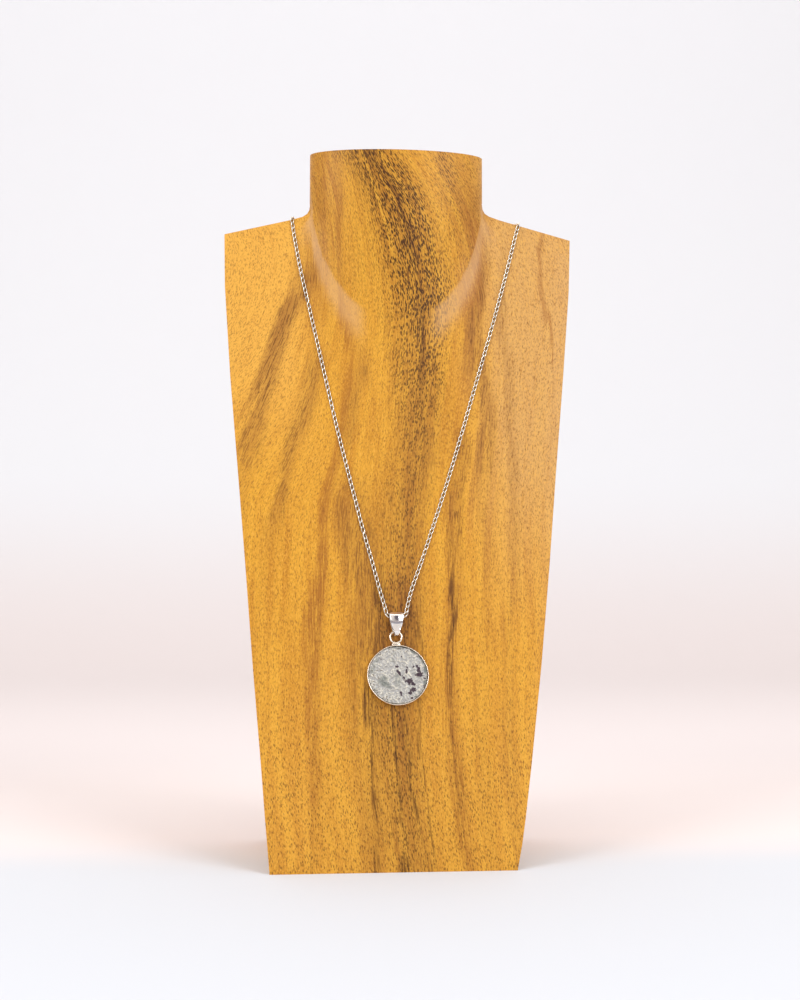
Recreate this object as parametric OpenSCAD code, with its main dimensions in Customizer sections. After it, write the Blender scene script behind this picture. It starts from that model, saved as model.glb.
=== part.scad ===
// Coin pendant on a fine curb chain, hung on a plain wooden neck bust.
// The bust stands on z = 0 with its neck over x = 0, its face looks along -y, sizes are in millimetres.

/* [Bust] */
// Height of the bust
bust_h = 305; // [295:1:340]
// Width across the shoulders
shoulder_w = 154; // [136:1:180]
// Height of the shoulder tips
tip_h = 268; // [256:1:272]
// Rise of the left shoulder from its tip to the neck
left_rise = 9.4; // [6:0.2:12]
// Rise of the right shoulder from its tip to the neck
right_rise = 11.2; // [6:0.2:13]
// Depth of the base, front to back
base_d = 88; // [74:1:110]
// Depth of the wood at the shoulder tips
shoulder_d = 17.8; // [14:0.2:24]
// Turn of the sawn front to one side, in degrees
front_turn = 2.9; // [0:0.1:4]
// Width of the neck
neck_w = 77.4; // [60:0.2:84]
// Depth of the neck, front to back
neck_d = 28.5; // [24:0.5:36]
// Depth of the rounded front of the neck
neck_round = 16.3; // [12:0.1:20]
// Radius between the neck's sides and the shoulders
neck_fillet = 6.5; // [3:0.5:9]
// Softness of the hollow between the neck and the chest
neck_blend = 6; // [3:0.5:9]

/* [Chain] */
// Width of the curb chain
chain_w = 1.8; // [1.4:0.1:2]
// Gap that keeps the metal clear of the wood and of other metal
metal_gap = 0.1; // [0.05:0.01:0.15]
// Outer diameter of the clasp's ring
clasp_d = 7; // [6:0.5:9]
// Wire of the clasp's ring
clasp_wire = 1.3; // [1:0.1:1.6]
// Outer diameter of the clasp's eyelet
eyelet_d = 3; // [2.4:0.1:4]

/* [Bail] */
// Width of the bail at its top
bail_w = 5.6; // [5:0.1:7]
// Width of the bail at its crease
crease_w = 4.8; // [4:0.1:5.4]
// Width of the bail at the wire of the ring
waist_w = 2.9; // [2.4:0.1:3.1]
// Width of the bail's tip
tip_w = 1.8; // [1.2:0.1:1.9]
// Sheet thickness of the bail
bail_t = 0.5; // [0.4:0.05:0.7]
// Play of the chain in the bail, all round
chain_play = 0.45; // [0.4:0.05:0.7]
// From the chain in the bail down to the wire of the ring
bail_drop = 6.3; // [6:0.1:8]
// From the top of the bail down to its crease
crease_drop = 5.6; // [5:0.1:6]
// Front of the crease before the chain in the bail
crease_out = 1.8; // [1.6:0.1:2]
// From the wire of the ring down to the end of the bail's tip
tip_drop = 2; // [1.8:0.1:2.4]

/* [Ring and setting] */
// Outer diameter of the ring
ring_d = 5.7; // [5.2:0.1:7]
// Wire of the ring
ring_wire = 0.85; // [0.7:0.05:0.95]
// Play of the ring's wire in the fold of the bail, all round
ring_play = 0.7; // [0.6:0.05:0.8]
// Outer width of the bezel, side to side
bezel_w = 25.7; // [22:0.1:30]
// Outer length of the bezel, top to bottom
bezel_l = 25.1; // [22:0.1:30]
// Wall of the bezel
bezel_wall = 0.6; // [0.5:0.05:1]
// Depth of the bezel, back to front
bezel_h = 2.7; // [2.6:0.1:3.4]
// Width of the ledge behind the coin
ledge_w = 1; // [0.6:0.1:2]
// Thickness of the ledge behind the coin
ledge_t = 0.5; // [0.4:0.05:0.6]
// Width of the lip that is rubbed down over the coin's edge
lip_w = 0.25; // [0.2:0.05:0.4]
// Thickness of the lip
lip_t = 0.3; // [0.2:0.05:0.35]
// Length of the solder bar between the ring and the bezel
bar_l = 3.2; // [2.6:0.1:4]
// Space between the ring and the bezel that the bar fills
bar_h = 0.7; // [0.4:0.05:1]

/* [Coin] */
// Gap between the coin's edge and the bezel
coin_gap = 0.1; // [0.05:0.05:0.15]
// Thickness of the coin's blank
coin_t = 1.4; // [1.2:0.05:1.5]
// Height of the worn relief
relief_h = 0.16; // [0.1:0.02:0.22]
// Number of worn border beads
bead_n = 30; // [20:1:36]

/* [Hidden] */

// Edges of the chest, columns: height as a share of tip_h, left and right half widths as shares of shoulder_w / 2
EDGE_H = 0;
EDGE_LEFT = 1;
EDGE_RIGHT = 2;
chest_edges = [
  [0, 0.705, 0.587], [0.038, 0.717, 0.616], [0.076, 0.730, 0.639], [0.152, 0.753, 0.679],
  [0.304, 0.803, 0.753], [0.456, 0.848, 0.817], [0.608, 0.896, 0.875], [0.760, 0.945, 0.936],
  [0.912, 0.983, 0.992], [1, 0.990, 1.010]
];

// Heights of the sections through the chest as shares of tip_h, close together where the neck blends in
chest_rows = concat([for (e = chest_edges) if (e[EDGE_H] < 0.7) e[EDGE_H]], [for (s = [0.7 : 0.03 : 1]) s]);
shoulder_steps = 9;
front_steps = 26;
flank_steps = 4;
flank_start = 80;
flank_slope = 3;
shoulder_fade = 1.5;
saw_cut = 2;

back_y = base_d / 2;
turn = tan(front_turn);
lean = (base_d - shoulder_d) / tip_h;
neck_r = neck_w / 2;
flank_y = back_y - (neck_d - neck_round);
left_tip = shoulder_w / 2 * chest_edges[len(chest_edges) - 1][EDGE_LEFT];
right_tip = shoulder_w / 2 * chest_edges[len(chest_edges) - 1][EDGE_RIGHT];

function tip_x(side) = side < 0 ? left_tip : right_tip;
function shoulder_slope(side) = (side < 0 ? left_rise : right_rise) / (tip_x(side) - neck_r);
function shoulder_z(x) = tip_h + shoulder_slope(x) * (tip_x(x) - max(abs(x), neck_r));
function fillet_z(side) = tip_h + shoulder_slope(side) * (tip_x(side) - neck_r - neck_fillet)
  + neck_fillet * norm([1, shoulder_slope(side)]);
neck_foot = max(fillet_z(-1), fillet_z(1));

// Half width of the bust on one side at a height: sawn edge, shoulder line, fillet, neck
function sawn_edge(side, z) = shoulder_w / 2
  * lookup(z / tip_h, [for (e = chest_edges) [e[EDGE_H], e[side < 0 ? EDGE_LEFT : EDGE_RIGHT]]]);
function fillet_edge(side, z) = neck_r + neck_fillet
  - sqrt(max(0, pow(neck_fillet, 2) - pow(fillet_z(side) - z, 2)));
function half_width(side, z) =
  z <= tip_h ? sawn_edge(side, z) :
  z >= fillet_z(side) ? neck_r :
  let (line_x = tip_x(side) - (z - tip_h) / shoulder_slope(side),
       tangent_x = neck_r + neck_fillet * (1 - shoulder_slope(side) / norm([1, shoulder_slope(side)])))
  line_x > tangent_x ? line_x : fillet_edge(side, z);

// Front surface of the bust: the leaning chest and the round neck, softly joined
function chest_y(x, z) = -back_y + lean * z + turn * x;
function neck_y(x) = flank_y + turn * x
  + (abs(x) < neck_r ? -neck_round * sqrt(1 - pow(x / neck_r, 2)) : flank_slope * (abs(x) - neck_r));
function soft_min(p, q, soft) = min(p, q) - pow(max(soft - abs(p - q), 0), 2) / (4 * soft);
function front_y(x, z) = soft_min(
  chest_y(x, z) + shoulder_fade * max(0, z - shoulder_z(x < 0 ? -neck_r : neck_r)), neck_y(x), neck_blend);

// One level section of the bust, from the back left corner round the front to the back right corner
function flank_point(side, z, share) =
  z <= neck_foot
  ? let (x0 = neck_r * sin(flank_start), x = side * (x0 + (half_width(side, z) - x0) * share))
    [x, front_y(x, z), z]
  : share <= 0.5
  ? let (x = side * neck_r * sin(flank_start + (90 - flank_start) * 2 * share)) [x, neck_y(x), z]
  : [side * neck_r, flank_y + turn * side * neck_r
     + (back_y - flank_y - turn * side * neck_r) * (2 * share - 1) * 0.7, z];
function section(z) = concat(
  [[-half_width(-1, z), back_y, z]],
  [for (i = [flank_steps : -1 : 1]) flank_point(-1, z, i / flank_steps)],
  [for (i = [0 : front_steps]) let (x = neck_r * sin(flank_start * (2 * i / front_steps - 1)))
    [x, z > neck_foot ? neck_y(x) : front_y(x, z), z]],
  [for (i = [1 : flank_steps]) flank_point(1, z, i / flank_steps)],
  [[half_width(1, z), back_y, z]]
);

// Skin over a list of rings with as many points each, closed at both ends
module skin(rings) {
  n = len(rings[0]);
  middle = floor(n / 2);
  last = n * (len(rings) - 1);
  polyhedron(points = [for (r = rings) for (p = r) p], faces = concat(
    [[for (i = [0 : n - 1]) (middle + i) % n]],
    [for (r = [0 : n : last - n]) for (i = [0 : n - 1]) [r + i, r + n + i, r + n + (i + 1) % n]],
    [for (r = [0 : n : last - n]) for (i = [0 : n - 1]) [r + i, r + n + (i + 1) % n, r + (i + 1) % n]],
    [[for (i = [n : -1 : 1]) last + (middle + i) % n]]
  ));
}

module bust() {
  rows = concat(
    [for (share = chest_rows) share * tip_h],
    [for (i = [1 : shoulder_steps]) tip_h + (neck_foot - tip_h) * i / shoulder_steps],
    [neck_foot + neck_blend / 10, bust_h]
  );
  below_base = [for (p = section(0)) p - [0, lean, 1] * saw_cut];
  color("goldenrod") difference() {
    skin(concat([below_base], [for (z = rows) section(z)]));
    // The base is sawn flat
    translate([-shoulder_w, -base_d, -2 * saw_cut]) cube([2 * shoulder_w, 2 * base_d, 2 * saw_cut]);
  }
}

// Route of the chain, from the clasp over the left shoulder, through the bail and over the right shoulder.
// Columns: zone, x, then two lengths. On the chest and behind: drop below the shoulder tips, height over the wood.
// At a shoulder's front or rear edge: depth and height from that edge. Beside a mouth of the bail: x out of the
// mouth, rise over the chain in the bail, and how far it still stands out with the bail, as a share.
CHEST = 0;
FRONT_EDGE = 1;
REAR_EDGE = 2;
BEHIND = 3;
LEFT_MOUTH = 4;
RIGHT_MOUTH = 5;
clasp_x = 3.6;
eyelet_x = clasp_x - (clasp_d + eyelet_d - clasp_wire) / 2;
clasp_left = eyelet_x - eyelet_d / 2 - metal_gap;
clasp_right = clasp_x + clasp_d / 2 + metal_gap;
chain_route = [
  [BEHIND, clasp_left, -3.6, 1], [BEHIND, -9, -3.7, 1], [BEHIND, -18, -4.1, 1], [BEHIND, -27, -5, 1], [BEHIND, -37, -6.5, 1],
  [BEHIND, -42, -7.6, 1], [REAR_EDGE, -44, 1, 0.6], [REAR_EDGE, -45, 0, 1.2], [REAR_EDGE, -45.8, -9, 1.2],
  [FRONT_EDGE, -46.4, 0.3, 1.1], [FRONT_EDGE, -46.6, -0.85, 0.85], [CHEST, -46.6, -6.8, 1],
  [CHEST, -45.2, 2.8, 1], [CHEST, -42.5, 17.5, 1], [CHEST, -39.2, 32.1, 1], [CHEST, -36, 46.6, 1],
  [CHEST, -32.8, 61, 1], [CHEST, -29.7, 75, 1], [CHEST, -26.5, 89, 1], [CHEST, -23.1, 103, 1],
  [CHEST, -19.7, 116.6, 1], [CHEST, -16.3, 130.2, 1], [CHEST, -12.6, 143.7, 1.05],
  [LEFT_MOUTH, 3.7, 11.1, 0.3], [LEFT_MOUTH, 2.2, 5.2, 0.6], [LEFT_MOUTH, 1.6, 2.4, 0.9],
  [LEFT_MOUTH, 1.2, 0.9, 1], [LEFT_MOUTH, 0.4, 0.15, 1], [LEFT_MOUTH, -0.7, 0, 1],
  [RIGHT_MOUTH, -0.7, 0, 1], [RIGHT_MOUTH, 0.4, 0.15, 1], [RIGHT_MOUTH, 1.2, 0.9, 1],
  [RIGHT_MOUTH, 1.6, 2.4, 0.9], [RIGHT_MOUTH, 2.3, 5.4, 0.6], [RIGHT_MOUTH, 4.2, 12, 0.3],
  [CHEST, 9.1, 142, 1.05], [CHEST, 13.8, 128.5, 1], [CHEST, 18.5, 114.8, 1],
  [CHEST, 23, 100.9, 1], [CHEST, 27.4, 86.8, 1], [CHEST, 31.7, 72.6, 1], [CHEST, 36.1, 58.3, 1],
  [CHEST, 40.5, 43.7, 1], [CHEST, 44.8, 29, 1], [CHEST, 49, 14, 1], [CHEST, 53, -1, 1],
  [CHEST, 54.5, -6.2, 1], [FRONT_EDGE, 54.4, -0.85, 0.85], [FRONT_EDGE, 54.2, 0.3, 1.1],
  [REAR_EDGE, 52.6, -7, 1], [REAR_EDGE, 51, 0, 1.2], [REAR_EDGE, 50, 1, 0.6], [BEHIND, 48, -7.2, 1],
  [BEHIND, 43, -6.4, 1], [BEHIND, 33, -5.2, 1], [BEHIND, 22, -4.2, 1], [BEHIND, 13, -3.7, 1],
  [BEHIND, clasp_right, -3.6, 1]
];
// Longest stretch between two rings of the chain's tube
ring_pitch = 12;
tube_sides = 8;
pendant_x = -2.7;
pendant_drop = 167;
hang_z = tip_h - pendant_drop;

// Bail and ring, as distances from the wood
bail_r = chain_w / 2 + chain_play + bail_t;
bail_out = bail_r + metal_gap;
foot_r = ring_wire / 2 + ring_play;
foot_out = foot_r + bail_t + 1.5 * metal_gap;

chain_out = chain_w / 2 + metal_gap;
tilt = atan(lean / norm([1, turn]));
across_chest = [cos(front_turn), sin(front_turn), 0];
off_chest = [sin(front_turn) * cos(tilt), -cos(front_turn) * cos(tilt), sin(tilt)];
up_chest = cross(off_chest, across_chest);
function on_wood(x, z) = [x, chest_y(x, z), z];
function mouth_point(side, r) = on_wood(pendant_x, hang_z) + across_chest * side * (bail_w / 2 + r[1])
  + up_chest * r[2] + off_chest * (chain_out + (bail_out - chain_out) * r[3]);
function edge_point(r, y) = [r[1], y + r[2], shoulder_z(r[1]) + r[3] * chain_out];
function route_point(r) =
  r[0] == CHEST ? on_wood(r[1], tip_h - r[2]) + off_chest * r[3] * chain_out :
  r[0] == BEHIND ? [r[1], back_y + r[3] * chain_out, tip_h - r[2]] :
  r[0] == LEFT_MOUTH ? mouth_point(-1, r) :
  r[0] == RIGHT_MOUTH ? mouth_point(1, r) :
  edge_point(r, r[0] == REAR_EDGE ? back_y : chest_y(r[1], shoulder_z(r[1])));

// A long stretch of the route gets one more point, on the curve through its neighbours
function is_long(p, i) = i > 0 && i < len(p) - 2 && norm(p[i + 1] - p[i]) > ring_pitch;
function between(p, i) = is_long(p, i - 1) && is_long(p, i + 1)
  ? (9 * (p[i] + p[i + 1]) - p[i - 1] - p[i + 2]) / 16 : (p[i] + p[i + 1]) / 2;
route_points = [for (r = chain_route) route_point(r)];
chain_path = [for (i = [0 : len(route_points) - 1])
  each is_long(route_points, i) ? [route_points[i], between(route_points, i)] : [route_points[i]]];

function unit(v) = v / norm(v);
function heading(path, i) = unit(path[min(i + 1, len(path) - 1)] - path[max(i - 1, 0)]);
function square_to(v, t) = unit(v - t * (v * t));

// Round tube along a path, its rings carried along without twist
module tube(path, d, sides, start) {
  ups = [for (i = 0, up = square_to(start, heading(path, 0)); i < len(path); i = i + 1,
         up = i < len(path) ? square_to(up, heading(path, i)) : up) up];
  skin([for (i = [0 : len(path) - 1]) let (t = heading(path, i), across = cross(ups[i], t))
    [for (k = [0 : sides - 1]) let (a = 360 / sides * (k + 0.5))
      path[i] + (ups[i] * cos(a) + across * sin(a)) * d / 2]]);
}

module chain() {
  color("silver") tube(chain_path, chain_w, tube_sides, [0, 1, 0]);
}

module wire_ring(outer_d, wire) {
  rotate([90, 0, 0]) rotate_extrude($fn = 64) translate([(outer_d - wire) / 2, 0]) circle(d = wire, $fn = 24);
}

// Plain spring ring between the two ends of the chain, flat on the back of the bust
module clasp() {
  translate([0, back_y + metal_gap + clasp_wire / 2, chain_path[0][2]]) color("silver") {
    translate([clasp_x, 0, 0]) wire_ring(clasp_d, clasp_wire);
    translate([eyelet_x, 0, 0]) wire_ring(eyelet_d, clasp_wire / 2);
  }
}

// What hangs on the chain is drawn upright with the chain in the bail at z = 0 and the wood behind y = 0,
// and then laid against the chest
module on_chest() {
  translate(on_wood(pendant_x, hang_z)) rotate([-tilt, 0, front_turn]) children();
}

ring_z = -bail_drop - (ring_d - ring_wire) / 2;
bezel_z = ring_z - ring_d / 2 - bar_h - bezel_l / 2;

// Bar round two parallel pins. Its flat sides stay a hair inside the plane that touches both.
strap_seam = 0.02;
module strap(h, p, p_r, q, q_r) {
  along = q - p;
  face = atan2(along[1], along[0]);
  open = acos((p_r - q_r) / norm(along));
  translate(p) cylinder(r = p_r, h = h, $fn = 48);
  translate(q) cylinder(r = q_r, h = h, $fn = 48);
  linear_extrude(h) polygon([for (c = [[p, p_r, open], [q, q_r, open], [q, q_r, -open], [p, p_r, -open]])
    c[0] + (c[1] - strap_seam) * [cos(face + c[2]), sin(face + c[2])]]);
}

// Folded bail: a strap round the chain with a crease across its front, narrowing to a tip under the ring's wire
crease_r = 0.6;
module bail() {
  top = [-bail_out, 0];
  crease = [-bail_out - crease_out + crease_r, bail_r - crease_drop];
  foot = [-foot_out, -bail_drop];
  tip = [-foot_out, -bail_drop - tip_drop + bail_t];
  full = bail_w + 2;
  color("silver") on_chest() intersection() {
    rotate([90, 0, 90]) translate([0, 0, -full / 2]) difference() {
      union() {
        strap(full, top, bail_r, foot, foot_r + bail_t);
        strap(full, top, bail_r, crease, crease_r);
        strap(full, crease, crease_r, foot, foot_r + bail_t);
        strap(full, foot, foot_r + bail_t, tip, bail_t);
      }
      translate([0, 0, -1]) strap(full + 2, top, bail_r - bail_t, foot, foot_r);
    }
    rotate([90, 0, 0]) linear_extrude(3 * bail_r) polygon([
      [-bail_w / 2, 2 * bail_r], [bail_w / 2, 2 * bail_r], [bail_w / 2, 0],
      [crease_w / 2, bail_r - crease_drop], [waist_w / 2, -bail_drop], [tip_w / 2, -bail_drop - tip_drop - 1],
      [-tip_w / 2, -bail_drop - tip_drop - 1], [-waist_w / 2, -bail_drop], [-crease_w / 2, bail_r - crease_drop],
      [-bail_w / 2, 0]
    ]);
  }
}

module oval(w, l, h) {
  scale([w / l, 1, 1]) cylinder(d = l, h = h, $fn = 128);
}

// Ring, solder bar and bezel are soldered together
module setting() {
  inner_w = bezel_w - 2 * bezel_wall;
  inner_l = bezel_l - 2 * bezel_wall;
  color("silver") on_chest() {
    translate([0, -foot_out, ring_z]) wire_ring(ring_d, ring_wire);
    translate([-bar_l / 2, -foot_out - ring_wire / 2, ring_z - ring_d / 2 - bar_h - bezel_wall / 2])
      cube([bar_l, ring_wire, bar_h + bezel_wall / 2 + ring_wire / 2]);
    translate([0, -metal_gap, bezel_z]) rotate([90, 0, 0]) difference() {
      oval(bezel_w, bezel_l, bezel_h);
      translate([0, 0, ledge_t]) oval(inner_w, inner_l, bezel_h - ledge_t - lip_t);
      translate([0, 0, ledge_t]) oval(inner_w - 2 * lip_w, inner_l - 2 * lip_w, bezel_h);
      translate([0, 0, -1]) oval(inner_w - 2 * ledge_w, inner_l - 2 * ledge_w, bezel_h);
    }
  }
}

// Worn ridges on the coin, columns: from and to as shares of the coin's radius, right and up, and width in mm
RIDGE_FROM = 0;
RIDGE_TO = 1;
RIDGE_W = 2;
ridges = [
  [[-0.42, 0.40], [-0.16, 0.56], 1.5], [[0.06, 0.50], [0.34, 0.36], 1.3], [[-0.02, 0.22], [0.02, -0.18], 2.2],
  [[0.30, 0.12], [0.50, -0.12], 1.4], [[-0.50, 0.06], [-0.34, -0.22], 1.6], [[-0.26, -0.34], [-0.06, -0.60], 1.3],
  [[0.14, -0.40], [0.40, -0.46], 1.5]
];
// Pits in the coin, columns: place as shares of the coin's radius, and width in mm
pits = [[-0.40, 0.26, 0.9], [0.54, 0.02, 1.1], [0.30, -0.26, 1.3], [0.42, -0.52, 1], [0.62, -0.24, 1.2],
  [-0.20, -0.14, 0.8]];
coin_rx = bezel_w / 2 - bezel_wall - coin_gap;
coin_ry = bezel_l / 2 - bezel_wall - coin_gap;
edge_wear = 0.12;
border_share = 0.88;
bead_d = 1;
pit_h = 0.25;

function on_coin(share) = [share[0] * coin_rx, share[1] * coin_ry];

module ridge(r) {
  from = on_coin(r[RIDGE_FROM]);
  to = on_coin(r[RIDGE_TO]);
  translate(from) rotate(atan2(to[1] - from[1], to[0] - from[0])) {
    translate([0, -r[RIDGE_W] / 2]) square([norm(to - from), r[RIDGE_W]]);
    circle(d = r[RIDGE_W] + strap_seam, $fn = 32);
    translate([norm(to - from), 0]) circle(d = r[RIDGE_W] + strap_seam, $fn = 32);
  }
}

// Worn coin: an uneven blank with a broken border of beads, low ridges and corroded pits
module coin() {
  color("gray") on_chest() translate([0, -2 * metal_gap - ledge_t, bezel_z]) rotate([90, 0, 0])
    difference() {
      union() {
        linear_extrude(coin_t) polygon([for (a = [0 : 6 : 354])
          let (wear = edge_wear * (1 + sin(3 * a + 40) * sin(5 * a)) / 2)
          [(coin_rx - wear) * cos(a), (coin_ry - wear) * sin(a)]]);
        linear_extrude(coin_t + relief_h) for (r = ridges) ridge(r);
        for (i = [0 : bead_n - 1]) if (i % 7 != 3)
          translate(on_coin(border_share * [cos(i * 360 / bead_n), sin(i * 360 / bead_n)]))
            cylinder(d = bead_d, h = coin_t + relief_h, $fn = 24);
      }
      for (p = pits) translate([p[0] * coin_rx, p[1] * coin_ry, coin_t + relief_h - pit_h])
        cylinder(d = p[2], h = pit_h + 1, $fn = 24);
    }
}

bust();
chain();
clasp();
bail();
setting();
coin();
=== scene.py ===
import bpy
import math
import random
from mathutils import Matrix, Vector


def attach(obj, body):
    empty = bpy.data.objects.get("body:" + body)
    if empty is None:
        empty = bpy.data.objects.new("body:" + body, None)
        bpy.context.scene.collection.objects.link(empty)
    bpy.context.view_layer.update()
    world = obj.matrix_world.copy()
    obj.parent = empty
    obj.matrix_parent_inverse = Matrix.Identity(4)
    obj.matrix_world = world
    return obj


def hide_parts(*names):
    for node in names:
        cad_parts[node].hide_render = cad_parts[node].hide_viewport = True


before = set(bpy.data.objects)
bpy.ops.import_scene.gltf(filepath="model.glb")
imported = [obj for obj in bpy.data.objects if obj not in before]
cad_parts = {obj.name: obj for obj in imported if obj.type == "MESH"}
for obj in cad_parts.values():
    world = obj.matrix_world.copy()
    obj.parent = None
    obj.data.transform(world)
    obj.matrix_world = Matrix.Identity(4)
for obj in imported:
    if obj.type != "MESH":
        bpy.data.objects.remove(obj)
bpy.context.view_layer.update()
scene = bpy.context.scene
mm = 0.001
print("frame loaded")

# The bust's size in mm. The chest is the plane y = -backFace + lean z + sideTurn x, and the shoulders slope up
# from their tips
lean = 0.26194
sideTurn = 0.05066
bustHeight = 305.0
tipHeight = 268.0
backFace = 44.0
shoulders = {"leftTip": -76.23, "leftSlope": 0.25047, "rightTip": 77.77, "rightSlope": 0.28667}


# Small helpers

def hexColor(code):
    # sRGB hex to linear values
    parts = [int(code[i:i + 2], 16) / 255 for i in (0, 2, 4)]
    return [p / 12.92 if p <= 0.04045 else ((p + 0.055) / 1.055) ** 2.4 for p in parts] + [1.0]


def addNode(tree, kind, settings=None, inputs=None):
    node = tree.nodes.new(kind)
    for name, value in (settings or {}).items():
        setattr(node, name, value)
    for name, value in (inputs or {}).items():
        if isinstance(value, bpy.types.NodeSocket):
            tree.links.new(value, node.inputs[name])
        else:
            node.inputs[name].default_value = value
    return node


def deselectAll():
    if bpy.context.mode != "OBJECT":
        bpy.ops.object.mode_set(mode="OBJECT")
    bpy.ops.object.select_all(action="DESELECT")


def makeActive(obj, *others):
    deselectAll()
    for o in (obj, *others):
        o.select_set(True)
    bpy.context.view_layer.objects.active = obj


def newPiece(name):
    # the primitive that was just added
    obj = bpy.context.object
    obj.name = obj.data.name = name
    return obj


def selectVerts(obj, test):
    # selects by place, and stays in edit mode
    bpy.ops.object.mode_set(mode="EDIT")
    bpy.ops.mesh.select_mode(type="VERT")
    bpy.ops.mesh.select_all(action="DESELECT")
    bpy.ops.object.mode_set(mode="OBJECT")
    for v in obj.data.vertices:
        v.select = bool(test(v.co))
    bpy.ops.object.mode_set(mode="EDIT")


def addModifier(obj, kind, **settings):
    modifier = obj.modifiers.new(kind.title(), kind)
    for name, value in settings.items():
        setattr(modifier, name, value)
    makeActive(obj)
    bpy.ops.object.modifier_apply(modifier=modifier.name)


def applyPlace(obj):
    makeActive(obj)
    bpy.ops.object.transform_apply(location=True, rotation=True, scale=True)


def recalculateNormals(obj, merge=0.000002):
    makeActive(obj)
    bpy.ops.object.mode_set(mode="EDIT")
    bpy.ops.mesh.select_all(action="SELECT")
    bpy.ops.mesh.remove_doubles(threshold=merge)
    bpy.ops.mesh.normals_make_consistent(inside=False)
    bpy.ops.object.mode_set(mode="OBJECT")


def joinPieces(first, *others):
    makeActive(first, *others)
    bpy.ops.object.join()
    return first


def smoothPiece(obj, degrees=35):
    makeActive(obj)
    bpy.ops.object.shade_smooth_by_angle(angle=math.radians(degrees))


def giveMaterial(obj, material):
    obj.data.materials.clear()
    obj.data.materials.append(material)


# Where the photo was taken from, in mm and degrees
photoView = {"place": (-39.6, -754.6, 124.0), "turn": 3.0, "upward": 2.0, "lens": 63.72}

bpy.ops.object.camera_add(location=[v * mm for v in photoView["place"]])
camera = bpy.context.object
camera.rotation_euler = (math.radians(90 + photoView["upward"]), 0, -math.radians(photoView["turn"]))
camera.data.lens = photoView["lens"]
camera.data.sensor_width = 36
camera.data.sensor_fit = "AUTO"
camera.data.clip_start = 0.01
scene.camera = camera

# Pale sheet that runs back a metre and then curves up
sweep = {"halfWidth": 8.0, "front": -8.0, "back": 1.1, "radius": 0.9, "height": 2.6, "steps": 16}

deselectAll()
bpy.ops.mesh.primitive_plane_add(size=2)
backdrop = newPiece("paleSheet")
bpy.ops.object.mode_set(mode="EDIT")
bpy.ops.transform.resize(value=(sweep["halfWidth"], (sweep["back"] - sweep["front"]) / 2, 1))
bpy.ops.transform.translate(value=(0, (sweep["back"] + sweep["front"]) / 2, 0))
selectVerts(backdrop, lambda p: p.y > sweep["back"] - 0.01)
turn = math.pi / 2 / sweep["steps"]
for i in range(sweep["steps"]):
    a = turn * (i + 0.5)
    step = 2 * sweep["radius"] * math.sin(turn / 2)
    bend = (0, step * math.cos(a), step * math.sin(a))
    bpy.ops.mesh.extrude_edges_move(TRANSFORM_OT_translate={"value": bend})
bpy.ops.mesh.extrude_edges_move(TRANSFORM_OT_translate={"value": (0, 0, sweep["height"] - sweep["radius"])})
bpy.ops.object.mode_set(mode="OBJECT")
bpy.ops.object.shade_smooth()

lights = [
    {"name": "leftSoftbox", "azimuth": -46, "elevation": 30, "distance": 1.9,
     "size": (0.75, 0.7), "watts": 12.6, "color": "EDF5FF"},
    {"name": "rightSoftbox", "azimuth": 40, "elevation": 33, "distance": 1.9,
     "size": (0.85, 0.7), "watts": 14.6, "color": "EDF5FF"},
    {"name": "topSoftbox", "azimuth": 5, "elevation": 76, "distance": 1.7,
     "size": (1.0, 0.8), "watts": 4, "color": "FFFFFF"},
    # one more behind the bust lights only the sheet
    {"name": "backdropLamp", "place": (0, 0.75, 1.5), "tip": 62,
     "size": (2.6, 0.5), "watts": 5, "color": "FFFFFF"},
    # and a weak one from behind keeps the shadows on the sheet light
    {"name": "rearFill", "place": (0, 0.5, 0.62), "tip": -38,
     "size": (1.4, 0.5), "watts": 0.8, "color": "FFFFFF"},
]
aim = Vector((0, 0, 0.14))


def directionFrom(azimuth, elevation):
    az, el = math.radians(azimuth), math.radians(elevation)
    return Vector((math.sin(az) * math.cos(el), -math.cos(az) * math.cos(el), math.sin(el)))


for light in lights:
    if "place" in light:
        place, turned = light["place"], (math.radians(light["tip"]), 0, 0)
    else:
        away = directionFrom(light["azimuth"], light["elevation"])
        place, turned = aim + away * light["distance"], away.to_track_quat("Z", "Y").to_euler()
    bpy.ops.object.light_add(type="AREA", location=place, rotation=turned)
    lamp = bpy.context.object
    lamp.name = light["name"]
    lamp.data.shape = "RECTANGLE"
    lamp.data.size, lamp.data.size_y = light["size"]
    lamp.data.energy = light["watts"]
    lamp.data.color = hexColor(light["color"])[:3]

# A white room with a dim place behind the camera, which polished silver shows as its dark middle
studioRoom = {"walls": "F5EFED", "strength": 0.95, "dimColor": "5A5264",
              "dimAzimuth": 12, "dimElevation": 39, "dimInner": 9, "dimOuter": 17}
scene.world = bpy.data.worlds.new("studioRoom")
scene.world.use_nodes = True
room = scene.world.node_tree
around = addNode(room, "ShaderNodeTexCoord")
toward = addNode(room, "ShaderNodeVectorMath", {"operation": "DOT_PRODUCT"},
                 {0: around.outputs["Generated"],
                  1: directionFrom(studioRoom["dimAzimuth"], studioRoom["dimElevation"])})
dim = addNode(room, "ShaderNodeMapRange", {"interpolation_type": "SMOOTHSTEP"},
              {"Value": toward.outputs["Value"], "From Min": math.cos(math.radians(studioRoom["dimOuter"])),
               "From Max": math.cos(math.radians(studioRoom["dimInner"]))})
roomColor = addNode(room, "ShaderNodeMix", {"data_type": "RGBA"},
                    {0: dim.outputs[0], 6: hexColor(studioRoom["walls"]), 7: hexColor(studioRoom["dimColor"])})
room.links.new(roomColor.outputs[2], room.nodes["Background"].inputs["Color"])
room.nodes["Background"].inputs["Strength"].default_value = studioRoom["strength"]
scene.view_settings.view_transform = "Standard"
print("camera, floor and lights placed")


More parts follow.
